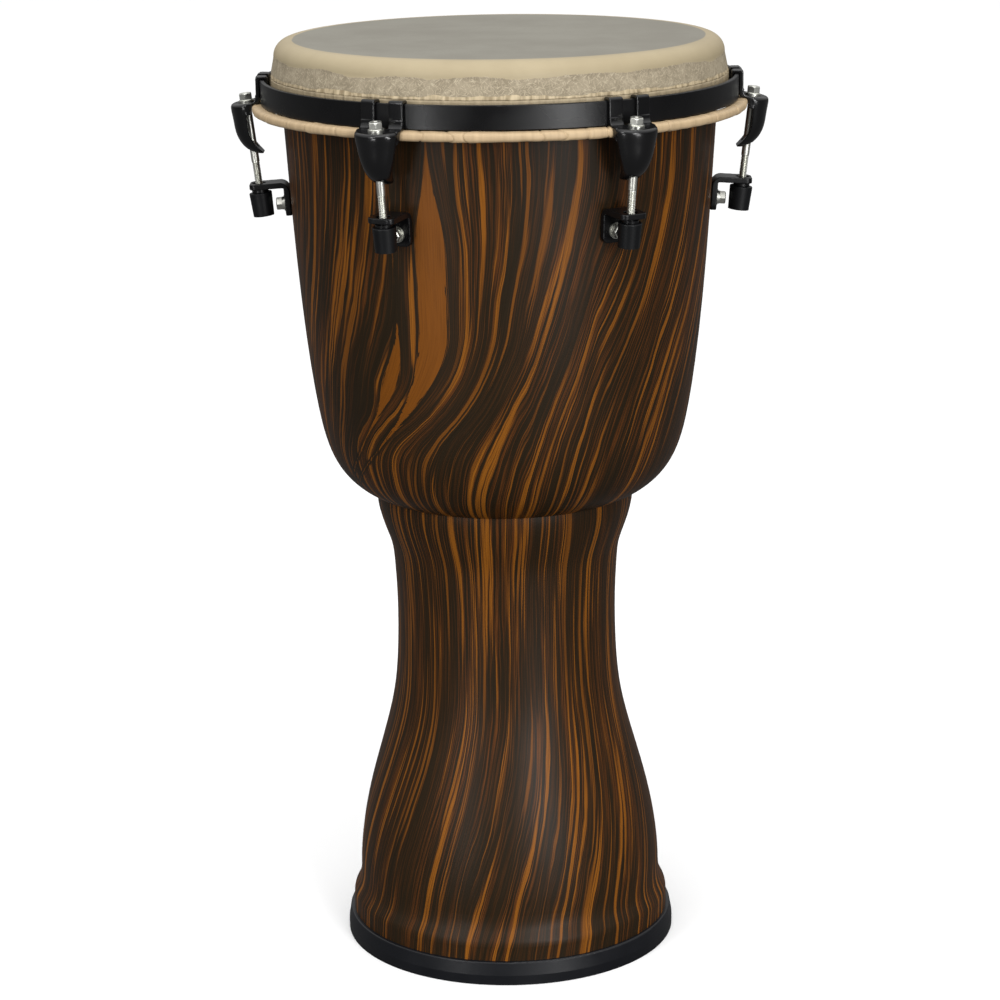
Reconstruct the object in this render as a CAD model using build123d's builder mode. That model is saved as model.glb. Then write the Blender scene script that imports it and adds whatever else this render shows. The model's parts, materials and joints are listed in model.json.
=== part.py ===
from build123d import *

import os
from math import asin, cos, degrees, radians, sin

# A 12 inch djembe that is tuned from above: a bowl and a stem that meet at a crease, synthetic
# head on a flesh hoop, flat steel tension hoop, and six tuners.  Each tuner is a cast claw that
# hooks over the hoop, a hex bolt through the claw, and a bent bracket on the bowl that holds a
# nut in a rubber cap.
# Millimetres, +Z up, origin on the floor under the drum's axis.  Each tuner's piece is built once
# in the plane through +X and turned into its places.
# Names that end in _R are radii from the drum's axis, and names that end in _Z are heights.

# Where the tuners stand, in degrees from +X: every 60 degrees, but the fifth is 3 degrees on.
TUNER_TURNS = (0, 60, 120, 180, 243, 300)

# Stem: points that its outside passes through, as (radius, height).  It stands on a straight
# rim, and ends at the crease.
WALL = 7.0
STEM_BOTTOM_Z = 4.0
RIM_R = 112.9
RIM_TOP_Z = 26.0
RIM_INSIDE_Z = 22.0
RIM_SHOULDER = (109.6, 35.5)
STEM = [(107.3, 47), (105.5, 73), (99.0, 108), (89.1, 144), (80.5, 180), (77.2, 218), (77.0, 250)]
STEM += [(78.3, 276), (80.0, 289), (83.7, 300), (87.3, 311), (89.1, 320), (89.3, 327)]
CREASE_WALL = 8.0

# Bowl: its outside from the crease to the top of its taper, then over to the bearing edge.
BOWL = [(89.3, 327), (104.6, 335.6), (115.6, 347.8), (122.0, 361), (128.1, 385), (133.4, 420)]
BOWL += [(139.6, 481), (145.3, 563), (149.2, 624)]
TAPER_TOP = (149.6, 630.5)
ROUNDOVER = (147.2, 636.3)
BEARING_EDGE = (142.4, 639.3)
BEARING_BEVEL = 1.2

# Foot ring: rubber channel around and under the stem's bottom edge.
RING_R = 117.2
RING_TOP_R = 115.6
RING_TOP_Z = 16.2
RING_INNER_R = 104.5
RING_KNEE_Z = 7.0
RING_BOTTOM_ROUND = 2.6
RING_TOP_ROUND = 1.1

# Head: flat film, shoulder, collar, and the pleated skirt that runs down inside the hoop.
HEAD_Z = 640.8
FILM = 1.0
FLAT_R = 141.0
SHOULDER_R = 152.0
SHOULDER_Z = 629.5
SHOULDER_MID = (149.3, 637.4)
SHOULDER_MID_INSIDE = (148.6, 636.7)
HEM_R = 154.6
HEM_Z = 616.6
SKIRT = 1.3
SKIRT_KNEE_R = 155.9
SKIRT_KNEE_Z = 606.0
SKIRT_END_R = 158.4
HEM_GAP = 0.1

# Tension hoop, and the flesh hoop under it: a steel rod rolled up in the head's cloth.
HOOP_R = 161.8
HOOP_THICKNESS = 3.0
HOOP_BOTTOM_Z = 598.7
HOOP_TOP_Z = 614.8
HOOP_EDGE_ROUND = 0.6
FLESH_R = 163.0
FLESH_Z = 595.1
FLESH_ROD_RADIUS = 2.2
WRAP_R = 162.6
WRAP_WIDTH = 10.4
WRAP_HEIGHT = 7.0
WRAP_CORNER = 3.1

# Tuning bolt: its seat on the claw, and its lean away from the drum.
SEAT_R = 171.8
SEAT_Z = 598.6
LEAN = 6.9
BOLT_RADIUS = 2.75
BOLT_LENGTH = 71.5
BOLT_TIP_CHAMFER = 0.6
HEX = 8.0
HEX_CHAMFER = 0.5
BOLT_HEAD = 5.2
WASHER_RADIUS = 5.3
WASHER = 1.0
SEAT_GAP = 0.02
RUNNING_GAP = 0.05

# Claw: its shield as sections across the spine, from the seat down to the tip.  Each section has
# its radius and height, the turn of its plane in degrees, its depth and half its width.
FINGER = 2.8
FINGER_ROOT_Z = 600.0
FINGER_GAP = 10.4
GAP_OUT_R = 166.3
GAP_BOTTOM_Z = 594.8
CLAW_WIDTH = 30.0
CREST = 2.0
LIP = 2.2
LIP_DEPTH = 6.0
HOOK_CLEARANCE = 0.2
CLAW_HOLE_RADIUS = 3.8
SPOT_FACE_RADIUS = 6.4
SHIELD_TOP_ROUND = 2.4
SHIELD = [
    (170.6, 598.75, -LEAN, 11.2, 15.0),
    (170.7, 592.0, -3.0, 11.2, 14.6),
    (170.4, 584.0, -8.0, 10.1, 12.8),
    (169.3, 576.5, -20.0, 8.9, 10.8),
    (167.1, 571.5, -42.0, 7.0, 9.0),
    (163.9, 567.6, -60.0, 4.4, 7.6),
    (160.6, 564.6, -64.0, 1.3, 5.6),
]
POCKET = [
    (166.6, 593.6, -3.0, 12.2, 11.6),
    (166.4, 584.0, -8.0, 11.0, 9.8),
    (165.6, 577.5, -20.0, 9.3, 7.8),
    (165.0, 574.6, -34.0, 7.4, 5.8),
]
NECK_TOP_Z = 604.0
NECK_BOTTOM_Z = 591.4
NECK_ROUND = 3.2
NECK_SET_IN = 0.6

# Bracket: bent steel strip that lies flat along the bowl's taper.
BRACKET_Z = 529.3
BRACKET_R = 143.05
TAPER = 3.9
STRIP = 3.9
STRIP_WIDTH = 18.6
STRIP_STANDOFF = 0.3
STRIP_CORNER = 4.0
LEG_BELOW_BOLT = 8.2
SHELF_ABOVE_BOLT = 15.3
SHELF_REACH = 27.4
BEND = 6.6
SHELF_HOLE_RADIUS = 4.7

# Fasteners through the bracket and the bowl.  Distances run out from the bowl's outside.
LUG_BOLT_RADIUS = 2.5
LUG_HOLE_RADIUS = 2.7
LUG_WASHER_RADIUS = 5.4
LUG_WASHER = 1.0
LOCK_WASHER_RADIUS = 4.5
LOCK_WASHER = 1.3
LUG_HEAD = 4.0
BACKING_DEPTH = 7.45
BACKING_WASHER_RADIUS = 8.5
BACKING_WASHER = 1.5
BACKING_NUT = 4.2
LUG_BOLT_END = 14.6

# Nut and rubber cap under the shelf: distances down the tuning bolt from its seat.
NUT_TOP = 57.2
COLLAR_TOP = 60.4
COLLAR_BOTTOM = 62.2
NUT_BOTTOM = 73.8
CAP_TOP = 62.3
CAP_BOTTOM = 78.6
CAP_FLOOR = 2.2
NUT_NECK_RADIUS = 4.1
NUT_COLLAR_RADIUS = 5.6
NUT_RADIUS = 5.0
CAP_TOP_RADIUS = 7.8
CAP_BOTTOM_RADIUS = 7.1
CAP_BORE_RADIUS = 5.05
CAP_EDGE_ROUND = 0.8

# Longer than anything that is drilled with it.
THROUGH = 200.0

lean = radians(LEAN)
taper = radians(TAPER)

# Frame of the first tuner's bolt: z runs up the bolt, x leans outwards, the origin is the seat.
seat = (SEAT_R, 0, SEAT_Z)
up_bolt = (sin(lean), 0, cos(lean))
off_bolt = (cos(lean), 0, -sin(lean))
bolt_plane = Plane(origin=seat, x_dir=off_bolt, z_dir=up_bolt)
bolt_axis = Axis(seat, up_bolt)
# Side view of the first bracket: x runs out from the bowl and y runs up along it.
lug = (BRACKET_R, 0, BRACKET_Z)
off_bowl = (cos(taper), 0, -sin(taper))
side_plane = Plane(origin=lug, x_dir=off_bowl, z_dir=(0, -1, 0))
# Frame of the first bracket's fasteners: z runs out from the bowl.
lug_plane = Plane(origin=lug, x_dir=(0, 1, 0), z_dir=off_bowl)
lug_axis = Axis(lug, off_bowl)

os.makedirs("parts", exist_ok=True)


def write(piece, name):
    """Write one named piece as its own file."""
    piece.label = name
    export_step(piece, f"parts/{name}.step")


def write_each(piece, name):
    """Write one piece for each tuner, as name_1 to name_6."""
    for i, turn in enumerate(TUNER_TURNS):
        write(piece.rotate(Axis.Z, turn), f"{name}_{i + 1}")


def write_group(piece, name):
    """Write the six copies of a fastener as separate solids in one file."""
    copies = [piece.rotate(Axis.Z, turn) for turn in TUNER_TURNS]
    write(Compound(children=copies), name)


def wall_inside(curve, first, last, count):
    """Points at the wall's thickness to the left of a curve, between two places along it."""
    points = []
    for i in range(count):
        u = first + (last - first) * i / (count - 1)
        along = curve % u
        points.append(curve @ u + Vector(-along.Y, along.X) * WALL)
    return points


def d_sections(sections):
    """One D-shaped sketch for each section of a claw: flat towards the drum, round outside."""
    sketches = []
    for r, z, turn, depth, half_width in sections:
        out = (cos(radians(turn)), 0, sin(radians(turn)))
        up = (-sin(radians(turn)), 0, cos(radians(turn)))
        with BuildSketch(Plane(origin=(r, 0, z), x_dir=out, z_dir=up)) as section:
            with BuildLine():
                Line((0, half_width), (0, -half_width))
                EllipticalCenterArc((0, 0), depth, half_width, start_angle=-90, arc_size=180)
            make_face()
        sketches.append(section.sketch)
    return sketches


# ---- stem ----
with BuildPart() as stem:
    with BuildSketch(Plane.XZ):
        with BuildLine():
            rim = Line((RIM_R, STEM_BOTTOM_Z), (RIM_R, RIM_TOP_Z))
            Spline(rim @ 1, RIM_SHOULDER, STEM[0], tangents=[(0, 1), (-0.03, 1)])
            outside = Spline(*STEM)
            crease = Line(outside @ 1, outside @ 1 - Vector(CREASE_WALL, 0))
            inside = Spline(
                crease @ 1,
                *wall_inside(outside, 0.88, 0.0, 16),
                (RIM_R - WALL, RIM_INSIDE_Z),
                tangents=[(-0.1, -1), (0, -1)],
            )
            rim_inside = Line(inside @ 1, (RIM_R - WALL, STEM_BOTTOM_Z))
            Line(rim_inside @ 1, rim @ 0)
        make_face()
    revolve(axis=Axis.Z)
write(stem.part, "stem")

# ---- bowl ----
with BuildPart() as bowl:
    with BuildSketch(Plane.XZ):
        with BuildLine():
            outside = Spline(*BOWL)
            taper_top = Line(outside @ 1, TAPER_TOP)
            roundover = Spline(taper_top @ 1, ROUNDOVER, BEARING_EDGE, tangents=[(0.02, 1), (-1, 0)])
            bevel = Line(roundover @ 1, roundover @ 1 - Vector(BEARING_BEVEL, BEARING_BEVEL))
            inside = Spline(
                bevel @ 1,
                *wall_inside(outside, 0.98, 0.14, 12),
                outside @ 0 - Vector(CREASE_WALL, 0),
            )
            Line(inside @ 1, outside @ 0)
        make_face()
    revolve(axis=Axis.Z)
    for turn in TUNER_TURNS:
        with PolarLocations(0, 1, turn):
            with Locations(lug_plane):
                Cylinder(LUG_HOLE_RADIUS, 4 * WALL, mode=Mode.SUBTRACT)
write(bowl.part, "bowl")

# ---- foot ring ----
with BuildPart() as foot_ring:
    with BuildSketch(Plane.XZ):
        with BuildLine():
            Polyline(
                (RING_INNER_R, 0),
                (RING_R, 0),
                (RING_R, RING_KNEE_Z),
                (RING_TOP_R, RING_TOP_Z),
                (RIM_R, RING_TOP_Z),
                (RIM_R, STEM_BOTTOM_Z),
                (RING_INNER_R, STEM_BOTTOM_Z),
                close=True,
            )
        channel = make_face()
        top_corner = channel.vertices().group_by(Axis.Y)[-1].sort_by(Axis.X)[-1]
        bottom_corner = channel.vertices().group_by(Axis.Y)[0].sort_by(Axis.X)[-1]
        fillet(top_corner, RING_TOP_ROUND)
        fillet(bottom_corner, RING_BOTTOM_ROUND)
    revolve(axis=Axis.Z)
write(foot_ring.part, "foot_ring")

# ---- head ----
with BuildPart() as head_film:
    with BuildSketch(Plane.XZ):
        with BuildLine():
            top = Line((0, HEAD_Z), (FLAT_R, HEAD_Z))
            shoulder = Spline(
                top @ 1,
                SHOULDER_MID,
                (SHOULDER_R, SHOULDER_Z),
                tangents=[(1, 0), (0.08, -1)],
            )
            collar = Line(shoulder @ 1, (HEM_R, HEM_Z))
            hem = Line(collar @ 1, (HEM_R - FILM, HEM_Z))
            collar_inside = Line(hem @ 1, (SHOULDER_R - FILM, SHOULDER_Z))
            shoulder_inside = Spline(
                collar_inside @ 1,
                SHOULDER_MID_INSIDE,
                (FLAT_R, HEAD_Z - FILM),
                tangents=[(-0.08, 1), (-1, 0)],
            )
            Polyline(shoulder_inside @ 1, (0, HEAD_Z - FILM), (0, HEAD_Z))
        make_face()
    revolve(axis=Axis.Z)
write(head_film.part, "head_film")

with BuildPart() as head_skirt:
    with BuildSketch(Plane.XZ):
        with BuildLine():
            Polyline(
                (HEM_R - SKIRT, HEM_Z - HEM_GAP),
                (HEM_R, HEM_Z - HEM_GAP),
                (SKIRT_KNEE_R, SKIRT_KNEE_Z),
                (SKIRT_END_R, HOOP_BOTTOM_Z),
                (SKIRT_END_R - SKIRT, HOOP_BOTTOM_Z),
                (SKIRT_KNEE_R - SKIRT, SKIRT_KNEE_Z),
                close=True,
            )
        make_face()
    revolve(axis=Axis.Z)
write(head_skirt.part, "head_skirt")

with BuildPart() as flesh_hoop:
    with BuildSketch(Plane.XZ):
        with Locations((FLESH_R, FLESH_Z)):
            Circle(FLESH_ROD_RADIUS)
    revolve(axis=Axis.Z)
write(flesh_hoop.part, "flesh_hoop")

with BuildPart() as hoop_wrap:
    with BuildSketch(Plane.XZ):
        with Locations((WRAP_R, FLESH_Z)):
            RectangleRounded(WRAP_WIDTH, WRAP_HEIGHT, WRAP_CORNER)
        with Locations((FLESH_R, FLESH_Z)):
            Circle(FLESH_ROD_RADIUS, mode=Mode.SUBTRACT)
    revolve(axis=Axis.Z)
write(hoop_wrap.part, "hoop_wrap")

with BuildPart() as tension_hoop:
    with BuildSketch(Plane.XZ):
        with Locations((HOOP_R - HOOP_THICKNESS / 2, (HOOP_BOTTOM_Z + HOOP_TOP_Z) / 2)):
            RectangleRounded(HOOP_THICKNESS, HOOP_TOP_Z - HOOP_BOTTOM_Z, HOOP_EDGE_ROUND)
    revolve(axis=Axis.Z)
write(tension_hoop.part, "tension_hoop")

# ---- claw ----
finger_in = HOOP_R + HOOK_CLEARANCE
finger_out = finger_in + FINGER
lip_out = HOOP_R - HOOP_THICKNESS - HOOK_CLEARANCE
lip_in = lip_out - LIP
crest_z = HOOP_TOP_Z + HOOK_CLEARANCE + CREST
claw_arc = 2 * degrees(asin(CLAW_WIDTH / 2 / finger_out))
arc_start = radians(-claw_arc / 2)
arc_plane = Plane(
    origin=(0, 0, 0),
    x_dir=(cos(arc_start), sin(arc_start), 0),
    z_dir=(sin(arc_start), -cos(arc_start), 0),
)

# Two fingers that follow the hoop's curve: over its top edge and a little way down inside it.
with BuildPart() as fingers:
    with BuildSketch(arc_plane):
        with BuildLine():
            Polyline(
                (finger_in, FINGER_ROOT_Z),
                (finger_out, FINGER_ROOT_Z),
                (finger_out, crest_z),
                (lip_in, crest_z),
                (lip_in, HOOP_TOP_Z - LIP_DEPTH),
                (lip_out, HOOP_TOP_Z - LIP_DEPTH),
                (lip_out, HOOP_TOP_Z + HOOK_CLEARANCE),
                (finger_in, HOOP_TOP_Z + HOOK_CLEARANCE),
                close=True,
            )
        hook = make_face()
        fillet(hook.vertices().group_by(Axis.Y)[-1], CREST)
    revolve(axis=Axis.Z, revolution_arc=claw_arc)
    with Locations((finger_in, 0, crest_z)):
        Box(CLAW_WIDTH, FINGER_GAP, 2 * CLAW_WIDTH, mode=Mode.SUBTRACT)

# Height of the seat's plane at a radius.
seat_slope = -sin(lean) / cos(lean)
neck_in_r = finger_out + NECK_ROUND
neck_in = (neck_in_r, SEAT_Z + (neck_in_r - SEAT_R) * seat_slope)
neck_out_r = SHIELD[0][0] + NECK_SET_IN
neck_out = (neck_out_r, SEAT_Z + (neck_out_r - SEAT_R) * seat_slope)
# The neck passes over the flesh hoop with a little room.
over_wrap = WRAP_CORNER + HOOK_CLEARANCE
wrap_corner_r = WRAP_R + WRAP_WIDTH / 2 - WRAP_CORNER
wrap_corner_z = FLESH_Z + WRAP_HEIGHT / 2 - WRAP_CORNER

with BuildPart() as claw:
    # Shield, with the edge of its flat top rounded.
    for sketch in d_sections(SHIELD):
        add(sketch)
    loft()
    shield_top = claw.faces().sort_by(bolt_axis)[-1]
    fillet(shield_top.edges().sort_by(SortBy.LENGTH)[-1], SHIELD_TOP_ROUND)
    # Neck, from the fingers' roots to the seat.
    with BuildSketch(Plane.XZ):
        with BuildLine():
            Polyline(
                (finger_out, NECK_TOP_Z),
                (finger_in, NECK_TOP_Z),
                (finger_in, wrap_corner_z + over_wrap),
                (wrap_corner_r, wrap_corner_z + over_wrap),
            )
            CenterArc((wrap_corner_r, wrap_corner_z), over_wrap, 90, -90)
            Polyline(
                (wrap_corner_r + over_wrap, wrap_corner_z),
                (wrap_corner_r + over_wrap, NECK_BOTTOM_Z),
                (neck_out_r, NECK_BOTTOM_Z - 1),
                neck_out,
                neck_in,
            )
            TangentArc(neck_in, (finger_out, NECK_TOP_Z), tangent=(-1, -seat_slope))
        make_face()
    extrude(amount=CLAW_WIDTH / 2, both=True)
    add(fingers.part)
    # Spot face and hole for the bolt, and the gap between the fingers carried down to the seat.
    with Locations(bolt_plane):
        above = (Align.CENTER, Align.CENTER, Align.MIN)
        Cylinder(SPOT_FACE_RADIUS, THROUGH, align=above, mode=Mode.SUBTRACT)
        Cylinder(CLAW_HOLE_RADIUS, THROUGH, mode=Mode.SUBTRACT)
    with Locations((GAP_OUT_R, 0, GAP_BOTTOM_Z)):
        up_and_in = (Align.MAX, Align.CENTER, Align.MIN)
        Box(CLAW_WIDTH, FINGER_GAP, 2 * CLAW_WIDTH, align=up_and_in, mode=Mode.SUBTRACT)
    # Pocket behind the shield, open towards the drum.
    for sketch in d_sections(POCKET):
        add(sketch)
    loft(mode=Mode.SUBTRACT)
write_each(claw.part, "claw")

# ---- tuning bolt and washer ----
with BuildPart() as tuning_bolt:
    head_bottom = 2 * SEAT_GAP + WASHER
    with BuildSketch(bolt_plane.offset(head_bottom)):
        RegularPolygon(HEX / 2, 6, major_radius=False)
    extrude(amount=BOLT_HEAD)
    chamfer(tuning_bolt.faces().sort_by(bolt_axis)[-1].edges(), HEX_CHAMFER)
    with BuildSketch(bolt_plane.offset(head_bottom)):
        Circle(BOLT_RADIUS)
    extrude(amount=-BOLT_LENGTH - head_bottom)
    chamfer(tuning_bolt.faces().sort_by(bolt_axis)[0].edges(), BOLT_TIP_CHAMFER)
write_each(tuning_bolt.part, "tuning_bolt")

with BuildPart() as bolt_washer:
    with BuildSketch(bolt_plane.offset(SEAT_GAP)):
        Circle(WASHER_RADIUS)
        Circle(BOLT_RADIUS + RUNNING_GAP, mode=Mode.SUBTRACT)
    extrude(amount=WASHER)
write_each(bolt_washer.part, "bolt_washer")

# ---- bracket ----
with BuildPart() as bracket:
    with BuildSketch(side_plane):
        with BuildLine():
            Polyline(
                (STRIP_STANDOFF, -LEG_BELOW_BOLT),
                (STRIP_STANDOFF + STRIP, -LEG_BELOW_BOLT),
                (STRIP_STANDOFF + STRIP, SHELF_ABOVE_BOLT - STRIP),
                (SHELF_REACH, SHELF_ABOVE_BOLT - STRIP),
                (SHELF_REACH, SHELF_ABOVE_BOLT),
                (STRIP_STANDOFF, SHELF_ABOVE_BOLT),
                close=True,
            )
        strip = make_face()
        outer_bend = (STRIP_STANDOFF, SHELF_ABOVE_BOLT)
        inner_bend = (STRIP_STANDOFF + STRIP, SHELF_ABOVE_BOLT - STRIP)
        fillet(strip.vertices().sort_by_distance(outer_bend)[0], BEND)
        fillet(strip.vertices().sort_by_distance(inner_bend)[0], BEND - STRIP)
    extrude(amount=STRIP_WIDTH / 2, both=True)
    leg_end = bracket.faces().sort_by(Axis(lug, side_plane.y_dir))[0]
    shelf_end = bracket.faces().sort_by(lug_axis)[-1]
    corners = leg_end.edges().sort_by(SortBy.LENGTH)[:2]
    corners += shelf_end.edges().sort_by(SortBy.LENGTH)[:2]
    fillet(corners, STRIP_CORNER)
    with Locations(bolt_plane):
        Cylinder(SHELF_HOLE_RADIUS, THROUGH, mode=Mode.SUBTRACT)
    with Locations(lug_plane):
        Cylinder(LUG_HOLE_RADIUS, THROUGH, mode=Mode.SUBTRACT)
write_each(bracket.part, "bracket")

# ---- nut and rubber cap ----
with BuildPart() as lug_nut:
    with BuildSketch(bolt_plane.offset(-NUT_TOP)):
        Circle(NUT_NECK_RADIUS)
    extrude(amount=NUT_TOP - NUT_BOTTOM)
    with BuildSketch(bolt_plane.offset(-COLLAR_TOP)):
        Circle(NUT_COLLAR_RADIUS)
    extrude(amount=COLLAR_TOP - COLLAR_BOTTOM)
    with BuildSketch(bolt_plane.offset(-COLLAR_BOTTOM)):
        Circle(NUT_RADIUS)
    extrude(amount=COLLAR_BOTTOM - NUT_BOTTOM)
    with Locations(bolt_plane):
        Cylinder(BOLT_RADIUS + RUNNING_GAP, THROUGH, mode=Mode.SUBTRACT)
write_each(lug_nut.part, "lug_nut")

with BuildPart() as nut_cap:
    with BuildSketch(Plane(origin=seat, x_dir=off_bolt, z_dir=(0, -1, 0))):
        with BuildLine():
            Polyline(
                (0, -CAP_BOTTOM),
                (CAP_BOTTOM_RADIUS, -CAP_BOTTOM),
                (CAP_TOP_RADIUS, -CAP_TOP),
                (CAP_BORE_RADIUS, -CAP_TOP),
                (CAP_BORE_RADIUS, -CAP_BOTTOM + CAP_FLOOR),
                (0, -CAP_BOTTOM + CAP_FLOOR),
                close=True,
            )
        cup = make_face()
        fillet(cup.vertices().sort_by(Axis.X)[-1], CAP_EDGE_ROUND)
        fillet(cup.vertices().group_by(Axis.Y)[0].sort_by(Axis.X)[-1], CAP_EDGE_ROUND)
    revolve(axis=bolt_axis)
write_each(nut_cap.part, "nut_cap")

# ---- fasteners through bracket and bowl ----
leg_face = STRIP_STANDOFF + STRIP
washer_face = leg_face + LUG_WASHER
head_face = washer_face + LOCK_WASHER

with BuildPart() as bracket_bolts:
    with BuildSketch(lug_plane.offset(head_face)):
        RegularPolygon(HEX / 2, 6, major_radius=False)
    extrude(amount=LUG_HEAD)
    chamfer(bracket_bolts.faces().sort_by(lug_axis)[-1].edges(), HEX_CHAMFER)
    with BuildSketch(lug_plane.offset(head_face)):
        Circle(LUG_BOLT_RADIUS)
    extrude(amount=-LUG_BOLT_END - head_face)
write_group(bracket_bolts.part, "bracket_bolts")

with BuildPart() as bracket_lock_washers:
    with BuildSketch(lug_plane.offset(washer_face)):
        Circle(LOCK_WASHER_RADIUS)
        Circle(LUG_HOLE_RADIUS, mode=Mode.SUBTRACT)
    extrude(amount=LOCK_WASHER)
write_group(bracket_lock_washers.part, "bracket_lock_washers")

with BuildPart() as bracket_flat_washers:
    with BuildSketch(lug_plane.offset(leg_face)):
        Circle(LUG_WASHER_RADIUS)
        Circle(LUG_HOLE_RADIUS, mode=Mode.SUBTRACT)
    extrude(amount=LUG_WASHER)
write_group(bracket_flat_washers.part, "bracket_flat_washers")

with BuildPart() as backing_washers:
    with BuildSketch(lug_plane.offset(-BACKING_DEPTH)):
        Circle(BACKING_WASHER_RADIUS)
        Circle(LUG_HOLE_RADIUS, mode=Mode.SUBTRACT)
    extrude(amount=-BACKING_WASHER)
write_group(backing_washers.part, "backing_washers")

with BuildPart() as backing_nuts:
    with BuildSketch(lug_plane.offset(-BACKING_DEPTH - BACKING_WASHER)):
        RegularPolygon(HEX / 2, 6, major_radius=False)
        Circle(LUG_BOLT_RADIUS, mode=Mode.SUBTRACT)
    extrude(amount=-BACKING_NUT)
    far_face = backing_nuts.faces().sort_by(lug_axis)[0]
    chamfer(far_face.outer_wire().edges(), HEX_CHAMFER)
write_group(backing_nuts.part, "backing_nuts")
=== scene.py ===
import json
import math
import random

import bmesh
import bpy
import numpy as np
from mathutils import Matrix, Vector


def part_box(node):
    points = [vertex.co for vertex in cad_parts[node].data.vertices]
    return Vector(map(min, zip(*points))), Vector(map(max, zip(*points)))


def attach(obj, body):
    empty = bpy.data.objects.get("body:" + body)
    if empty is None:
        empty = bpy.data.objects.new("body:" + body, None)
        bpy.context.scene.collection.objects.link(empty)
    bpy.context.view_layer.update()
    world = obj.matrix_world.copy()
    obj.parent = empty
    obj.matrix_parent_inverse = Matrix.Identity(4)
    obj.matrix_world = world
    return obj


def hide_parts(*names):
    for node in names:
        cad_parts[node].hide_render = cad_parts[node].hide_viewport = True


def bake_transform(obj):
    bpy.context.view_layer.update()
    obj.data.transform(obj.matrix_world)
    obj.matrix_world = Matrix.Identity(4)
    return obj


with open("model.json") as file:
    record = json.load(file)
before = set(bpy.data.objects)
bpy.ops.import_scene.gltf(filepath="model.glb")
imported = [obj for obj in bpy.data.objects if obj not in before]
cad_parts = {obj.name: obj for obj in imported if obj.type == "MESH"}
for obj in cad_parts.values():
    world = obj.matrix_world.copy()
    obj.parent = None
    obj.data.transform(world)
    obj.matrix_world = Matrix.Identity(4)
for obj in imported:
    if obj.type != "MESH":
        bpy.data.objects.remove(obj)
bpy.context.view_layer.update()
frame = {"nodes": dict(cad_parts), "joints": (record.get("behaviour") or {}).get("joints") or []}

MM = 0.001

# Camera: where the drum is seen from, in metres and degrees.
CAMERA_PLACE = (0.0, -2.024, 0.858)
CAMERA_PITCH = 14.98
CAMERA_YAW = 0.100
CAMERA_ROLL = -0.80
CAMERA_LENS = 107.35
SENSOR = 36.0

# Sky strength at the horizon, overhead and where the camera sees it.
SKY_LOW = 0.06
SKY_HIGH = 1.62
SKY_SEEN = 1.0
# The soft lights: name, place, size and power, and the place that they all look at.
SOFTBOXES = [
    ("overhead", (0.0, -1.1, 2.4), (1.8, 1.0), 12.0),
    ("front_right", (1.1, -2.5, 0.95), (0.7, 1.1), 34.0),
    ("front_left", (-1.9, -2.2, 1.5), (0.6, 1.3), 20.0),
    ("low_right", (1.25, -1.85, 0.16), (0.55, 0.30), 7.0),
    ("low_left", (-1.25, -1.85, 0.16), (0.45, 0.30), 5.0),
]
LIGHTS_TARGET = (0.0, 0.0, 0.35)
# The floor's rings, and its brightness in what it throws back and where the camera sees it.
FLOOR_RINGS = (0.001, 9.0, 60.0)
FLOOR_THROWN = (0.11, 0.11, 0.11)
FLOOR_SEEN = (0.94, 0.94, 0.94)

# The print's grain. Angles are in radians round the shell from the front, and heights in metres.
BOWL_LEAN = 0.47
BOWL_LEAN_HEIGHTS = (0.330, 0.575)
FOOT_LEAN = 0.30
FOOT_LEAN_HEIGHTS = (-0.01, 0.19)
# Just under the first flame the grain is swept back a little.
SWEPT_LEAN = -0.08
SWEPT_HEIGHTS = (0.325, 0.440)
SWEPT_ANGLE = -0.35
SWEPT_NARROWNESS = 4.0
# The grain beside the first flame follows its bowed line, and parts to go round each flame.
FOLLOWING_HEIGHTS = (0.352, 0.412)
FOLLOWING_NARROWNESS = 8.0
PARTING_FADE = 7.0
# Flames are places where one streak opens into a wide patch along a bowed line. The bow grows with
# the square of the depth under bow_from. A flame opens from low and closes towards high.
FLAMES = [
    {"angle": -0.330, "bow": -46.0, "bow_from": 0.470, "half_width": 0.070,
     "low": 0.372, "low_full": 0.460, "high_full": 0.515, "high": 0.590},
    {"angle": -0.520, "bow": -38.0, "bow_from": 0.470, "half_width": 0.042,
     "low": 0.392, "low_full": 0.430, "high_full": 0.425, "high": 0.475},
]
# Soft sideways wander of the grain: cells per radian, cells per metre up, detail and size.
DRIFT = (1.6, 4.2, 1.0, 0.12)
RIPPLE = (8.0, 15.0, 2.0, 0.040)
# Noises that the print is drawn from: cells per radian, cells per metre up, detail, roughness and a
# shift that keeps them apart.
BANDS = (31.0, 5.2, 1.0, 0.5, 3.0)
LINES = (110.0, 11.0, 2.0, 0.5, 11.0)
HAIRS = (400.0, 24.0, 2.0, 0.6, 5.0)
TONE = (9.0, 4.0, 1.0, 0.5, 20.0)
# How much the bands, lines and hairs each count in the streaks, and how much a flame's border takes.
BANDS_WEIGHT = 0.66
LINES_WEIGHT = 0.26
HAIRS_WEIGHT = 0.08
BORDER_WEIGHT = 0.10

# Colours are linear RGB. A pair goes from the darker to the lighter one.
DARK_GRAIN = ((0.0075, 0.0050, 0.0022), (0.0240, 0.0140, 0.0055))
BROWN_GRAIN = ((0.024, 0.0100, 0.0030), (0.105, 0.0330, 0.0060))
AMBER_STREAK = ((0.145, 0.048, 0.0040), (0.255, 0.087, 0.0080))
AMBER_FLAME = ((0.115, 0.036, 0.0030), (0.172, 0.054, 0.0045))
STREAK_FLECK = (0.040, 0.016, 0.0055)
DIM_STREAK = (0.075, 0.025, 0.0045)
STREAK_BORDER = (0.100, 0.033, 0.0055)
DISC = ((0.195, 0.182, 0.148), (0.228, 0.216, 0.178))
DISC_SPECK = (0.165, 0.150, 0.120)
CREAM = ((0.345, 0.283, 0.176), (0.392, 0.325, 0.207))
FIBRE = ((0.235, 0.195, 0.132), (0.300, 0.252, 0.175))
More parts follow.
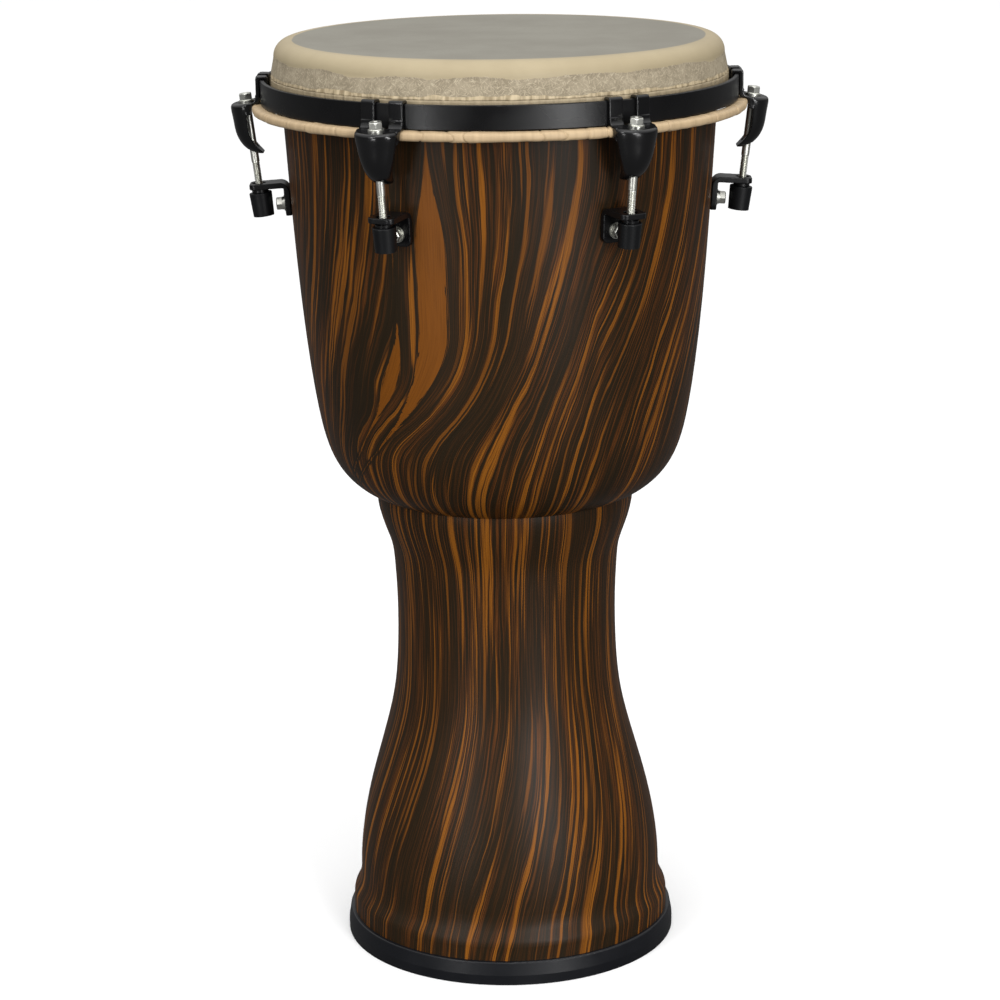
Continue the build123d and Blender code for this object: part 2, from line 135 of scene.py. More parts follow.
FIBRE_HAIR = (0.50, 0.43, 0.31)
# The three cloth pairs are the cloth's cream, spread from painted shade to painted highlight along its
# tucks and creases; the rolled and skirt cloth also take some cloudy tone of their own.
TUCKED_CLOTH_AND_SHADE = ((0.290, 0.225, 0.135), (0.540, 0.440, 0.285))
ROLLED_CLOTH_AND_SHADE = ((0.42, 0.306, 0.180), (0.53, 0.392, 0.233))
SKIRT_CLOTH_AND_SHADE = ((0.27, 0.214, 0.135), (0.41, 0.332, 0.212))

# The head's markings, in metres: the grey disc, the collar's radius, and the fibre's ragged edges.
DISC_RADIUS = 0.1393
DISC_EDGE = 0.0003
COLLAR_RADIUS = 0.153
FIBRE_TOP = 0.6247
FIBRE_TOP_RAGGED = 0.0085
FIBRE_FOOT = 0.6155
FIBRE_FOOT_RAGGED = 0.0070
FIBRE_EDGE = 0.00012
# Directions of the fibre's crossing hairs, in radians, and a shift that keeps the sets apart.
HAIR_SETS = ((0.55, 0.1), (0.90, 0.5), (1.50, 0.9), (2.15, 1.3), (2.55, 1.7), (2.95, 2.1))

# Columns and rows of the meshes that are made here.
SKIN_COLUMNS = 1440
FLAT_ROWS = 9
SHOULDER_ROWS = 15
COLLAR_ROWS = 17
SKIRT_ROWS = 15
ROLL_COLUMNS = 1920
ROLL_ROWS = 32
BOLT_COLUMNS = 48

# The head's section: how far in and down from its outline the shoulder's curve begins and ends.
POLE_RADIUS = 0.002
FLAT_INSET = 13.6 * MM
SHOULDER_INSET = 2.6 * MM
SHOULDER_DROP = 11.3 * MM
SHOULDER_BULGE = 0.03
HEM_HEIGHT = 5 * MM
HEAD_THICKNESS = 0.9 * MM
HEAD_SAG = 0.22 * MM

# The skirt's pleats: width round the drum in radians, height, and the steep side's share.
PLEAT_SEED = 41
PLEAT_WIDTHS = (0.045, 0.12)
PLEAT_HEIGHTS = (0.4, 1.1)
PLEAT_SINK = 0.8 * MM
STEEP_SHARE = 0.18
SKIRT_KNEE = 1.7 * MM
SKIRT_TUCK = 0.9 * MM
SKIRT_FLARE = 1.4 * MM
SKIRT_RIPPLE = 0.12 * MM
SKIRT_THICKNESS = 0.6 * MM

# The rolled cloth's section and its creases.
ROLL_HALF_WIDTH = 5.2 * MM
ROLL_SQUARENESS = 2 / 2.7
ROLL_RIPPLE = 0.10 * MM
ROLL_SINK = 0.35 * MM
ROLL_THICKNESS = 0.8 * MM
CREASE_SLANT = 0.03
CREASE_SHARPNESS = (0.0025, 0.005)
CREASE_DEPTHS = (0.25, 0.80)
OVERLAP_STEPS = (0.10, 0.50)
CREASE_WANDER = 0.006
OVERLAP_RISE = 0.004
OVERLAP_FADE = 0.07
CREASE_GAPS = (0.07, 0.1, 0.13, 0.17, 0.22)

# The tuning bolts. Their seat is on the washer, and the thread is 24 to the inch.
WASHER = 1.04 * MM
ACROSS_FLATS = 8.0 * MM
BOLT_HEAD = 4.9 * MM
CHAMFER = 0.75 * MM
DIMPLE_RADIUS = 1.0 * MM
DIMPLE_DEPTH = 0.5 * MM
FLANGE = 0.5 * MM
FLANGE_RADIUS = 4.7 * MM
SHANK_RADIUS = 2.75 * MM
BOLT_LENGTH = 72.4 * MM
PLAIN_LENGTH = 42.0 * MM
PITCH = 1.0583 * MM
THREAD_DEPTH = 0.62 * PITCH
RINGS_PER_THREAD = 8
SHARP_ANGLE = 35.0

# Rounding of the castings and the bent plates: size of the cells, and how often they are smoothed.
VOXEL = 0.40 * MM
CAST_SMOOTHING = 6
PLATE_SMOOTHING = 5


# ---------------------------------------------------------------- meshes
def add_object(name, mesh, material=None):
    """A new smooth-shaded object for a mesh, in the scene's collection."""
    obj = bpy.data.objects.new(name, mesh)
    bpy.context.scene.collection.objects.link(obj)
    if material is not None:
        mesh.materials.clear()
        mesh.materials.append(material)
    mesh.polygons.foreach_set("use_smooth", [True] * len(mesh.polygons))
    return obj


def grid_mesh(name, points, closed_rows=False, caps=False):
    """A mesh from a grid of points, closed round its second index and, if asked, round its first."""
    rows, columns = points.shape[:2]
    index = np.arange(rows * columns).reshape(rows, columns)
    across = np.roll(index, -1, axis=1)
    last = rows if closed_rows else rows - 1
    below = np.roll(index, -1, axis=0)
    below_across = np.roll(below, -1, axis=1)
    quads = np.stack([index, across, below_across, below], axis=-1)[:last].reshape(-1, 4)
    faces = quads.tolist()
    if caps:
        faces.append(index[0][::-1].tolist())
        faces.append(index[-1].tolist())
    mesh = bpy.data.meshes.new(name)
    mesh.from_pydata(points.reshape(-1, 3).tolist(), [], faces)
    mesh.update()
    return mesh


def turned_points(r, z, azimuth):
    """Points on circles of radius r at height z; the arrays are broadcast together."""
    r, z, azimuth = np.broadcast_arrays(r, z, azimuth)
    return np.stack([r * np.cos(azimuth), r * np.sin(azimuth), z], axis=-1)


def circle(count):
    """Evenly spaced azimuths round a full circle."""
    return np.linspace(0, 2 * math.pi, count, endpoint=False)


def flip_if_inside_out(mesh):
    """Turns a closed mesh's faces to look outwards."""
    work = bmesh.new()
    work.from_mesh(mesh)
    bmesh.ops.recalc_face_normals(work, faces=work.faces)
    work.to_mesh(mesh)
    work.free()


# ---------------------------------------------------------------- materials
class Graph:
    """A material's nodes, with one short call for each kind."""

    def __init__(self, name, **shader_values):
        self.material = bpy.data.materials.new(name)
        self.material.use_nodes = True
        self.tree = self.material.node_tree
        self.shader = self.tree.nodes["Principled BSDF"]
        for socket, value in shader_values.items():
            self.set(socket.replace("_", " "), value)

    def put(self, socket, value):
        if isinstance(value, bpy.types.NodeSocket):
            self.tree.links.new(value, socket)
        elif isinstance(value, tuple) and socket.type == "RGBA":
            socket.default_value = (*value, 1.0)[:4]
        else:
            socket.default_value = value

    def set(self, name, value):
        self.put(self.shader.inputs[name], value)

    def node(self, kind, inputs, output=0, **settings):
        made = self.tree.nodes.new(kind)
        for setting, value in settings.items():
            setattr(made, setting, value)
        for key, value in inputs.items():
            self.put(made.inputs[key], value)
        return made.outputs[output]

    def math(self, operation, a, b=0.0, c=0.0):
        return self.node("ShaderNodeMath", {0: a, 1: b, 2: c}, operation=operation)

    def vector(self, operation, a, b=(0.0, 0.0, 0.0)):
        output = "Value" if operation == "LENGTH" else "Vector"
        return self.node("ShaderNodeVectorMath", {0: a, 1: b}, output, operation=operation)

    def scaled(self, vector, scale):
        return self.node("ShaderNodeVectorMath", {0: vector, "Scale": scale}, "Vector", operation="SCALE")

    def turned(self, vector, angle):
        inputs = {"Vector": vector, "Angle": angle}
        return self.node("ShaderNodeVectorRotate", inputs, rotation_type="Z_AXIS")

    def place(self):
        return self.node("ShaderNodeTexCoord", {}, "Object")

    def parts(self, vector):
        made = self.tree.nodes.new("ShaderNodeSeparateXYZ")
        self.put(made.inputs[0], vector)
        return made.outputs[0], made.outputs[1], made.outputs[2]

    def joined(self, x, y, z):
        return self.node("ShaderNodeCombineXYZ", {0: x, 1: y, 2: z})

    def noise(self, vector, scale, detail=2.0, roughness=0.5, distortion=0.0):
        inputs = {"Vector": vector, "Scale": scale, "Detail": detail}
        inputs.update({"Roughness": roughness, "Distortion": distortion})
        return self.node("ShaderNodeTexNoise", inputs, "Fac")

    def step(self, value, low, high, to_low=0.0, to_high=1.0):
        inputs = {"Value": value, "From Min": low, "From Max": high, "To Min": to_low, "To Max": to_high}
        return self.node("ShaderNodeMapRange", inputs, 0, interpolation_type="SMOOTHSTEP")

    def mix(self, factor, a, b):
        made = self.tree.nodes.new("ShaderNodeMix")
        made.data_type = "RGBA"
        self.put(made.inputs[0], factor)
        self.put(made.inputs[6], a)
        self.put(made.inputs[7], b)
        return made.outputs[2]

    def bump(self, height, distance, strength=1.0):
        inputs = {"Height": height, "Distance": distance, "Strength": strength}
        return self.node("ShaderNodeBump", inputs, "Normal")


def wander(g, about, z, around, upright, detail, size):
    """A soft sideways wander of the grain, as far one way as the other."""
    raised = g.joined(0.0, 0.0, g.math("MULTIPLY", z, upright))
    place = g.vector("ADD", g.scaled(about, around), raised)
    return g.math("MULTIPLY_ADD", g.noise(place, 1.0, detail), size, -size / 2)


def streaks(g, grain, z, around, upright, detail, roughness, shift):
    """Noise that is long up the shell and short around it."""
    raised = g.joined(0.0, 0.0, g.math("MULTIPLY_ADD", z, upright, shift))
    return g.noise(g.vector("ADD", g.scaled(grain, around), raised), 1.0, detail, roughness)


def flame_lines(g, angle, z):
    """For each flame: the angle from its line, how far the line bows, and the half width there."""
    lines = []
    for flame in FLAMES:
        below = g.math("MAXIMUM", g.math("SUBTRACT", flame["bow_from"], z), 0.0)
        bowed = g.math("MULTIPLY", g.math("POWER", below, 2.0), flame["bow"])
        apart = g.math("SUBTRACT", g.math("SUBTRACT", angle, flame["angle"]), bowed)
        opening = g.step(z, flame["low"], flame["low_full"])
        closing = g.step(z, flame["high"], flame["high_full"])
        half_width = g.math("MULTIPLY", g.math("MULTIPLY", opening, closing), flame["half_width"])
        lines.append((apart, bowed, half_width))
    return lines


def grain_turn(g, about, angle, z, flames):
    """How far the grain is turned round the shell: its lean, its wander and its way past the flames."""
    bowl_lean = g.step(z, *BOWL_LEAN_HEIGHTS, 0.0, BOWL_LEAN)
    from_flame = g.math("POWER", g.math("SUBTRACT", angle, SWEPT_ANGLE), 2.0)
    below_flame = g.math("EXPONENT", g.math("MULTIPLY", from_flame, -SWEPT_NARROWNESS))
    swept = g.math("MULTIPLY", below_flame, g.step(z, *SWEPT_HEIGHTS, SWEPT_LEAN, 0.0))
    wandering = g.math("ADD", wander(g, about, z, *DRIFT), wander(g, about, z, *RIPPLE))
    turn = g.math("ADD", g.math("ADD", bowl_lean, swept), wandering)
    turn = g.math("ADD", turn, g.step(z, *FOOT_LEAN_HEIGHTS, 0.0, FOOT_LEAN))

    apart, bowed, _ = flames[0]
    along = g.math("SUBTRACT", g.math("ADD", bowed, BOWL_LEAN), bowl_lean)
    along = g.math("MULTIPLY", along, g.step(z, *FOLLOWING_HEIGHTS))
    near = g.math("MULTIPLY", g.math("POWER", apart, 2.0), -FOLLOWING_NARROWNESS)
    turn = g.math("MULTIPLY_ADD", along, g.math("EXPONENT", near), turn)
    for apart, _, half_width in flames:
        distance = g.math("ABSOLUTE", apart)
        past = g.math("MAXIMUM", g.math("SUBTRACT", distance, half_width), 0.0)
        fading = g.math("EXPONENT", g.math("MULTIPLY", past, -PARTING_FADE))
        aside = g.math("MULTIPLY", g.math("MINIMUM", distance, half_width), fading)
        turn = g.math("MULTIPLY_ADD", g.math("SIGN", apart), aside, turn)
    return turn


def flame_cover(g, flames, lines, hairs):
    """How far inside a flame's ragged edge a point is, in radians, and less than 0 outside."""
    cover = None
    for apart, _, half_width in flames:
        ragged = g.math("MULTIPLY_ADD", lines, 0.045, g.math("MULTIPLY_ADD", hairs, 0.025, -0.035))
        inside = g.math("ADD", g.math("SUBTRACT", half_width, g.math("ABSOLUTE", apart)), ragged)
        cover = inside if cover is None else g.math("MAXIMUM", cover, inside)
    return cover


def streak_colour(g, figure, lines, hairs, tone, by_flame):
    """Dark and brown grain with amber streaks where the figure is high; darker beside a flame."""
    dark = g.mix(hairs, *DARK_GRAIN)
    brown = g.mix(g.step(hairs, 0.36, 0.62), *BROWN_GRAIN)
    body = g.mix(g.step(lines, 0.45, 0.60), dark, brown)
    body = g.mix(g.step(tone, 0.42, 0.56, 0.0, 0.70), body, dark)
    body = g.mix(g.math("MULTIPLY", by_flame, 0.8), body, dark)
    streak = g.mix(g.step(hairs, 0.30, 0.70), *AMBER_STREAK)
    streak = g.mix(g.step(hairs, 0.34, 0.43, 0.50, 0.0), streak, STREAK_FLECK)
    streak = g.mix(g.step(tone, 0.46, 0.60, 0.0, 0.55), streak, DIM_STREAK)
    body = g.mix(g.step(figure, 0.540, 0.580, 0.0, 0.75), body, STREAK_BORDER)
    return g.mix(g.step(figure, 0.562, 0.610), body, streak)


def wood_print():
    """The shell's printed skin: dark brown, with fine amber streaks that lean on the bowl and foot."""
    g = Graph("wood_print", Specular_IOR_Level=0.14)
    x, y, z = g.parts(g.place())
    about = g.vector("NORMALIZE", g.joined(x, y, 0.0))
    angle = g.math("ARCTAN2", x, g.math("MULTIPLY", y, -1.0))
    flames = flame_lines(g, angle, z)
    turn = grain_turn(g, about, angle, z, flames)
    grain = g.turned(about, g.math("MULTIPLY", turn, -1.0))
    bands = streaks(g, grain, z, *BANDS)
    lines = streaks(g, grain, z, *LINES)
    hairs = streaks(g, grain, z, *HAIRS)
    tone = streaks(g, grain, z, *TONE)

    cover = flame_cover(g, flames, lines, hairs)
    in_flame = g.step(cover, -0.002, 0.002)
    by_flame = g.math("MULTIPLY", g.step(cover, -0.028, -0.006), g.math("SUBTRACT", 1.0, in_flame))
    figure = g.math("MULTIPLY_ADD", lines, LINES_WEIGHT, g.math("MULTIPLY", bands, BANDS_WEIGHT))
    figure = g.math("MULTIPLY_ADD", hairs, HAIRS_WEIGHT, figure)
    figure = g.math("SUBTRACT", figure, g.math("MULTIPLY", by_flame, BORDER_WEIGHT))
    colour = streak_colour(g, figure, lines, hairs, tone, by_flame)

    inner_place = g.joined(g.math("MULTIPLY", flames[0][0], 260.0), 0.0, g.math("MULTIPLY", z, 22.0))
    inner = g.noise(inner_place, 1.0, 3.0, 0.6)
    flame = g.mix(g.step(inner, 0.30, 0.60), *AMBER_FLAME)
    g.set("Base Color", g.mix(in_flame, colour, flame))
    g.set("Roughness", g.step(hairs, 0.2, 0.8, 0.38, 0.46))
    g.set("Normal", g.bump(hairs, 0.00005, 0.2))
    return g.material


def plain(name, colour, roughness, grain, metallic=0.0, grain_scale=900.0, **values):
    """A finish with a fine grain and a slow drift in its roughness and colour."""
    g = Graph(name, Metallic=metallic, **values)
    place = g.place()
    fine = g.noise(place, grain_scale, 3.0)
    slow = g.noise(place, 35.0, 2.0)
    darker = tuple(c * 0.75 for c in colour)
    lighter = tuple(min(1.0, c * 1.3) for c in colour)
    shade = g.math("MULTIPLY_ADD", slow, 0.7, g.math("MULTIPLY", fine, 0.3))
    g.set("Base Color", g.mix(shade, darker, lighter))
    g.set("Roughness", g.step(slow, 0.3, 0.7, roughness - 0.04, roughness + 0.06))
    g.set("Normal", g.bump(fine, grain, 0.5))
    return g.material


def matted_hairs(g, flat):
    """Sets of fine crossing hairs, on the collar laid out flat."""
    hairs = None
    for turn, shift in HAIR_SETS:
        stretched = g.vector("MULTIPLY", g.turned(flat, turn), (200.0, 1500.0, 1.0))
        ridge = g.noise(g.vector("ADD", stretched, (0.0, 0.0, 10.0 * shift)), 1.0, 1.0, 0.5, 0.1)
        hairs = ridge if hairs is None else g.math("MAXIMUM", hairs, ridge)
    return hairs


def drum_skin():
    """The head: cloudy grey-brown middle, cream shoulder and a ragged collar of matted fibre."""
    g = Graph("drum_skin", Specular_IOR_Level=0.3)
    place = g.place()
    x, y, z = g.parts(place)
    radius = g.vector("LENGTH", g.joined(x, y, 0.0))
    cloud = g.noise(place, 14.0, 4.0, 0.6)
    speck = g.noise(place, 420.0, 3.0, 0.6)

    disc = g.mix(g.step(cloud, 0.3, 0.7), *DISC)
    disc = g.mix(g.step(speck, 0.52, 0.75, 0.0, 0.35), disc, DISC_SPECK)
    cream = g.mix(g.step(cloud, 0.3, 0.7), *CREAM)
    uneven = g.math("MULTIPLY_ADD", g.noise(place, 60.0, 3.0), 0.0012, -0.0006)
    past_disc = g.step(g.math("ADD", radius, uneven), DISC_RADIUS - DISC_EDGE, DISC_RADIUS + DISC_EDGE)
    top = g.mix(past_disc, disc, cream)

    angle = g.math("ARCTAN2", x, g.math("MULTIPLY", y, -1.0))
    flat = g.joined(g.math("MULTIPLY", angle, COLLAR_RADIUS), z, 0.0)
    hairs = matted_hairs(g, flat)
    mottle = g.noise(place, 140.0, 3.0, 0.6)
    fibre = g.mix(g.step(mottle, 0.35, 0.65), *FIBRE)
    fibre = g.mix(g.step(hairs, 0.60, 0.74, 0.0, 0.75), fibre, FIBRE_HAIR)

    fine_rag = g.math("MULTIPLY", g.noise(place, 330.0, 3.0, 0.7), 0.28)
    ragged = g.math("ADD", g.noise(place, 26.0, 2.0), fine_rag)
    upper = g.math("MULTIPLY_ADD", ragged, FIBRE_TOP_RAGGED, FIBRE_TOP)
    elsewhere = g.vector("ADD", place, (7.0, 3.0, 1.0))
    lower = g.math("MULTIPLY_ADD", g.noise(elsewhere, 30.0, 4.0, 0.65), FIBRE_FOOT_RAGGED, FIBRE_FOOT)
    below_upper = g.step(g.math("SUBTRACT", upper, z), -FIBRE_EDGE, FIBRE_EDGE)
    below_lower = g.step(g.math("SUBTRACT", lower, z), -FIBRE_EDGE, FIBRE_EDGE)
    # Below the fibre: cream cloth with painted shade in the gaps between its tucks and painted highlights
    # on the tucks.
    painted_tuck_shade = g.noise(g.vector("MULTIPLY", flat, (260.0, 55.0, 1.0)), 1.0, 2.0, 0.6, 0.3)
    tucked_cloth_and_shade = g.mix(g.step(painted_tuck_shade, 0.34, 0.62), *TUCKED_CLOTH_AND_SHADE)
    g.set("Base Color", g.mix(below_lower, g.mix(below_upper, top, fibre), tucked_cloth_and_shade))
    matted = g.math("SUBTRACT", below_upper, below_lower)
    g.set("Roughness", g.math("MULTIPLY_ADD", matted, 0.25, 0.52))
    height = g.math("MULTIPLY_ADD", g.math("MULTIPLY", hairs, matted), 0.5, g.math("MULTIPLY", speck, 0.12))
    g.set("Normal", g.bump(height, 0.0003, 0.6))
    return g.material


def cloth(name, dark, light):
    """Cream cloth of the head's skirt or rolled edge, with a fine weave and soft shading in its creases."""
    g = Graph(name, Specular_IOR_Level=0.35, Roughness=0.5)
    place = g.place()
    cloud = g.noise(place, 45.0, 3.0, 0.6)
    fine = g.noise(place, 1400.0, 2.0, 0.6)
    x, y, _ = g.parts(place)
    about = g.vector("NORMALIZE", g.joined(x, y, 0.0))
    # Painted shade and painted light in stripes round the drum, standing for tucks and creases, mixed with
    # some cloudy tone of the cloth itself.
    painted_tuck_shade = g.noise(about, 38.0, 3.0, 0.65)
    shade = g.math("MULTIPLY_ADD", g.step(painted_tuck_shade, 0.35, 0.65), 0.6, g.math("MULTIPLY", cloud, 0.4))
    g.set("Base Color", g.mix(shade, dark, light))
    g.set("Normal", g.bump(fine, 0.00012, 0.5))
    return g.material


# ---------------------------------------------------------------- stage
def pale_floor():
    """A wide disc, pale where the camera sees it and dimmer in the light that it throws back."""
    points = turned_points(np.array(FLOOR_RINGS)[:, None], 0.0, circle(96))
    floor = add_object("floor", grid_mesh("floor", points))
    g = Graph("pale_floor", Roughness=0.7, Specular_IOR_Level=0.1)
    seen = g.node("ShaderNodeLightPath", {}, "Is Camera Ray")
    g.set("Base Color", g.mix(seen, FLOOR_THROWN, FLOOR_SEEN))
    floor.data.materials.append(g.material)


def soft_sky(scene):
    """Bright overhead and dim round the horizon, and white where it shows behind the floor."""
    world = bpy.data.worlds.new("studio")
    world.use_nodes = True
    tree = world.node_tree
    background = tree.nodes["Background"]
    direction = tree.nodes.new("ShaderNodeTexCoord")
    parts = tree.nodes.new("ShaderNodeSeparateXYZ")
    rise = tree.nodes.new("ShaderNodeMapRange")
    path = tree.nodes.new("ShaderNodeLightPath")
    choose = tree.nodes.new("ShaderNodeMix")
    tree.links.new(direction.outputs["Generated"], parts.inputs[0])
    tree.links.new(parts.outputs["Z"], rise.inputs["Value"])
    rise.inputs["To Min"].default_value = SKY_LOW
    rise.inputs["To Max"].default_value = SKY_HIGH
    tree.links.new(path.outputs["Is Camera Ray"], choose.inputs[0])
    tree.links.new(rise.outputs[0], choose.inputs[2])
    choose.inputs[3].default_value = SKY_SEEN
    tree.links.new(choose.outputs[0], background.inputs["Strength"])
    background.inputs["Color"].default_value = (1.0, 1.0, 1.0, 1.0)
    scene.world = world


def softbox(scene, name, place, size, power):
    """A rectangular light that looks at the drum and isn't seen itself."""
    light = bpy.data.lights.new(name, "AREA")
    light.shape = "RECTANGLE"
    light.size, light.size_y = size
    light.energy = power
    obj = bpy.data.objects.new(name, light)
    obj.visible_camera = False
    scene.collection.objects.link(obj)
    obj.location = place
    looking = Vector(LIGHTS_TARGET) - Vector(place)
    obj.rotation_euler = looking.to_track_quat("-Z", "Y").to_euler()


def camera(scene):
    """The camera, at the place and with the lens that the constants give."""
    made = bpy.data.objects.new("camera", bpy.data.cameras.new("camera"))
    scene.collection.objects.link(made)
    made.data.lens = CAMERA_LENS
    made.data.sensor_width = SENSOR
    turn = Matrix.Rotation(math.radians(CAMERA_YAW), 4, "Z")
    tilt = Matrix.Rotation(math.radians(90.0 - CAMERA_PITCH), 4, "X")
    roll = Matrix.Rotation(math.radians(CAMERA_ROLL), 4, "Z")
    made.matrix_world = Matrix.Translation(CAMERA_PLACE) @ turn @ tilt @ roll
    scene.camera = made


def stage():
    """Pale floor, soft lights and the camera."""
    scene = bpy.context.scene
    pale_floor()
    soft_sky(scene)
    for name, place, size, power in SOFTBOXES:
        softbox(scene, name, place, size, power)
    camera(scene)
    scene.view_settings.view_transform = "Standard"


stage()

nodes = frame["nodes"]


def paint(node, material):
    """Gives a CAD node its finished material."""
    mesh = nodes[node].data
    if not mesh.materials:
        mesh.materials.append(material)
    for slot in nodes[node].material_slots:
        slot.material = material


# ---------------------------------------------------------------- places read from the frame
HEAD_LOW, HEAD_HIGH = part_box("head_film")
WRAP_LOW, WRAP_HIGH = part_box("hoop_wrap")
SKIRT_LOW, SKIRT_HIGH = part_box("head_skirt")
BOLT_JOINTS = [j for j in frame["joints"] if j["name"].startswith("bolt_turn_")]
TUNERS = [j["pos_m"] for j in BOLT_JOINTS]
FIRST_BOLT = next(j for j in BOLT_JOINTS if j["name"] == "bolt_turn_1")
BOLT_TILT = Vector((0, 0, 1)).rotation_difference(Vector(FIRST_BOLT["axis"]))
BOLT_FRAME = Matrix.Translation(FIRST_BOLT["pos_m"]) @ BOLT_TILT.to_matrix().to_4x4()


def waves(azimuth, across, seed, count, turns, size):
    """A sum of small waves that closes on itself round the drum; across is a second coordinate."""
    chance = random.Random(seed)
    total = 0.0
    for _ in range(count):
        m = chance.randint(*turns)
        n = chance.choice((-2, -1, 0, 1, 2))
        strength = chance.uniform(0.4, 1.0)
        phase = chance.uniform(0, 6.28)
        total = total + strength * np.cos(m * azimuth + n * across + phase)
    return total * size / math.sqrt(count)


def pleats(azimuth):
    """Height of the skirt's upright tucks: one steep side and one long side each, unevenly spaced."""
    chance = random.Random(PLEAT_SEED)
    height = np.zeros_like(azimuth)
    start = 0.0
    while start < 2 * math.pi:
        width = chance.uniform(*PLEAT_WIDTHS)
        tall = chance.uniform(*PLEAT_HEIGHTS) * MM
        share = (azimuth % (2 * math.pi) - start) / width
        inside = (share >= 0) & (share < 1)
        rise = np.minimum(share / STEEP_SHARE, 1.0)
        fall = np.clip((1.0 - share) / (1.0 - STEEP_SHARE), 0, 1) ** 0.7
        height = np.where(inside, tall * np.minimum(rise, fall), height)
        start += width
    return height


def angle_past(azimuth, place):
    """Angle from a place to each azimuth, between minus and plus half a turn."""
    return (azimuth - place + math.pi) % (2 * math.pi) - math.pi


def creases(azimuth, around, seed):
    """Depth of the creases across the rolled cloth, and the small step that each overlap leaves."""
    chance = random.Random(seed)
    depth = np.zeros(np.broadcast(azimuth, around).shape)
    place = 0.0
    while place < 2 * math.pi:
        slant = chance.uniform(-CREASE_SLANT, CREASE_SLANT)
        sharp = chance.uniform(*CREASE_SHARPNESS)
        deep = chance.uniform(*CREASE_DEPTHS) * MM
        step = chance.uniform(*OVERLAP_STEPS) * MM
        wandering = chance.uniform(-CREASE_WANDER, CREASE_WANDER)
        line = place + slant * np.cos(around) + wandering * np.sin(2 * around)
        off = angle_past(azimuth, line)
        depth -= deep * np.exp(-((off / sharp) ** 2))
        past = np.maximum(off, 0.0)
        depth += step * (1 - np.exp(-past / OVERLAP_RISE)) * np.exp(-past / OVERLAP_FADE)
        place += chance.choice(CREASE_GAPS) * chance.uniform(0.8, 1.25)
    return depth


def head_section(top_z, hem_z, hem_r):
    """Radius and height of each ring of the head, from the middle out over the shoulder to the hem."""
    flat_r = hem_r - FLAT_INSET
    shoulder_r = hem_r - SHOULDER_INSET
    shoulder_z = top_z - SHOULDER_DROP
    rings = [(r, top_z) for r in np.linspace(POLE_RADIUS, flat_r, FLAT_ROWS)]
    for turn in np.linspace(0, math.pi / 2, SHOULDER_ROWS)[1:]:
        bulge = 1.0 + SHOULDER_BULGE * math.sin(2 * turn)
        r = flat_r + (shoulder_r - flat_r) * math.sin(turn) * bulge
        z = shoulder_z + (top_z - shoulder_z) * math.cos(turn) * bulge
        rings.append((min(r, shoulder_r), min(z, top_z)))
    for share in np.linspace(0, 1, COLLAR_ROWS)[1:]:
        r = shoulder_r + (hem_r - shoulder_r) * share
        rings.append((r, shoulder_z + (hem_z - shoulder_z) * share))
    return np.array(rings)


def head(material):
    """Drum head: flat film, rounded shoulder, and a collar whose lowest edge takes up the pleats."""
    azimuth = circle(SKIN_COLUMNS)[None, :]
    top_z = HEAD_HIGH.z
    hem_z = HEAD_LOW.z
    rings = head_section(top_z, hem_z, HEAD_HIGH.x)
    ring_r = rings[:, :1]
    ring_z = rings[:, 1:]
    lowness = np.clip((hem_z + HEM_HEIGHT - ring_z) / HEM_HEIGHT, 0, 1) ** 2
    below_top = np.clip((top_z - ring_z) / (10 * MM), 0, 1)
    sag = waves(azimuth, 0.0, seed=5, count=9, turns=(2, 14), size=HEAD_SAG) * below_top
    r = ring_r + (pleats(azimuth) - PLEAT_SINK) * lowness + sag * (1 - lowness)
    obj = add_object("drum_head", grid_mesh("drum_head", turned_points(r, ring_z, azimuth)), material)
    close_pole(obj.data)
    thicken(obj, HEAD_THICKNESS)
    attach(obj, "root")
    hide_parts("head_film")


def close_pole(mesh):
    """Fills the small hole left at the middle of a turned sheet."""
    work = bmesh.new()
    work.from_mesh(mesh)
    rim = [e for e in work.edges if e.is_boundary and e.verts[0].co.xy.length < 5 * POLE_RADIUS]
    bmesh.ops.contextual_create(work, geom=rim)
    bmesh.ops.recalc_face_normals(work, faces=work.faces)
    work.to_mesh(mesh)
    work.free()


def thicken(obj, thickness):
    """Makes a closed sheet of that thickness, inwards from the surface."""
    solid = obj.modifiers.new("thickness", "SOLIDIFY")
    solid.thickness = thickness
    solid.offset = -1.0
    bake_modifiers(obj)


def bake_modifiers(obj):
    """Replaces an object's mesh with what its modifiers make of it."""
    bpy.context.view_layer.update()
    made = bpy.data.meshes.new_from_object(obj.evaluated_get(bpy.context.evaluated_depsgraph_get()))
    old = obj.data
    obj.modifiers.clear()
    obj.data = made
    bpy.data.meshes.remove(old)


def skirt(material):
    """The head's cloth below the collar: pleated, and let out towards the flesh hoop."""
    azimuth = circle(SKIN_COLUMNS)[None, :]
    share = np.linspace(0, 1, SKIRT_ROWS)[:, None]
    knee = SKIRT_KNEE * np.sin(math.pi * share * 0.5) - SKIRT_TUCK * np.sin(math.pi * share)
    r = HEAD_HIGH.x + knee + share ** 2 * SKIRT_FLARE
    r = r + (pleats(azimuth) - PLEAT_SINK) * (1 - 0.5 * share)
    r = r + waves(azimuth, 3 * share, seed=12, count=14, turns=(8, 60), size=SKIRT_RIPPLE)
    z = SKIRT_HIGH.z + (SKIRT_LOW.z - SKIRT_HIGH.z) * share
    mesh = grid_mesh("head_skirt_cloth", turned_points(r, z, azimuth))
    obj = add_object("head_skirt_cloth", mesh, material)
    flip_if_inside_out(obj.data)
    thicken(obj, SKIRT_THICKNESS)
    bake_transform(obj)
    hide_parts("head_skirt")


def squared(wave):
    """A wave with fuller shoulders, for a section between a circle and a square."""
    return np.sign(wave) * np.abs(wave) ** ROLL_SQUARENESS


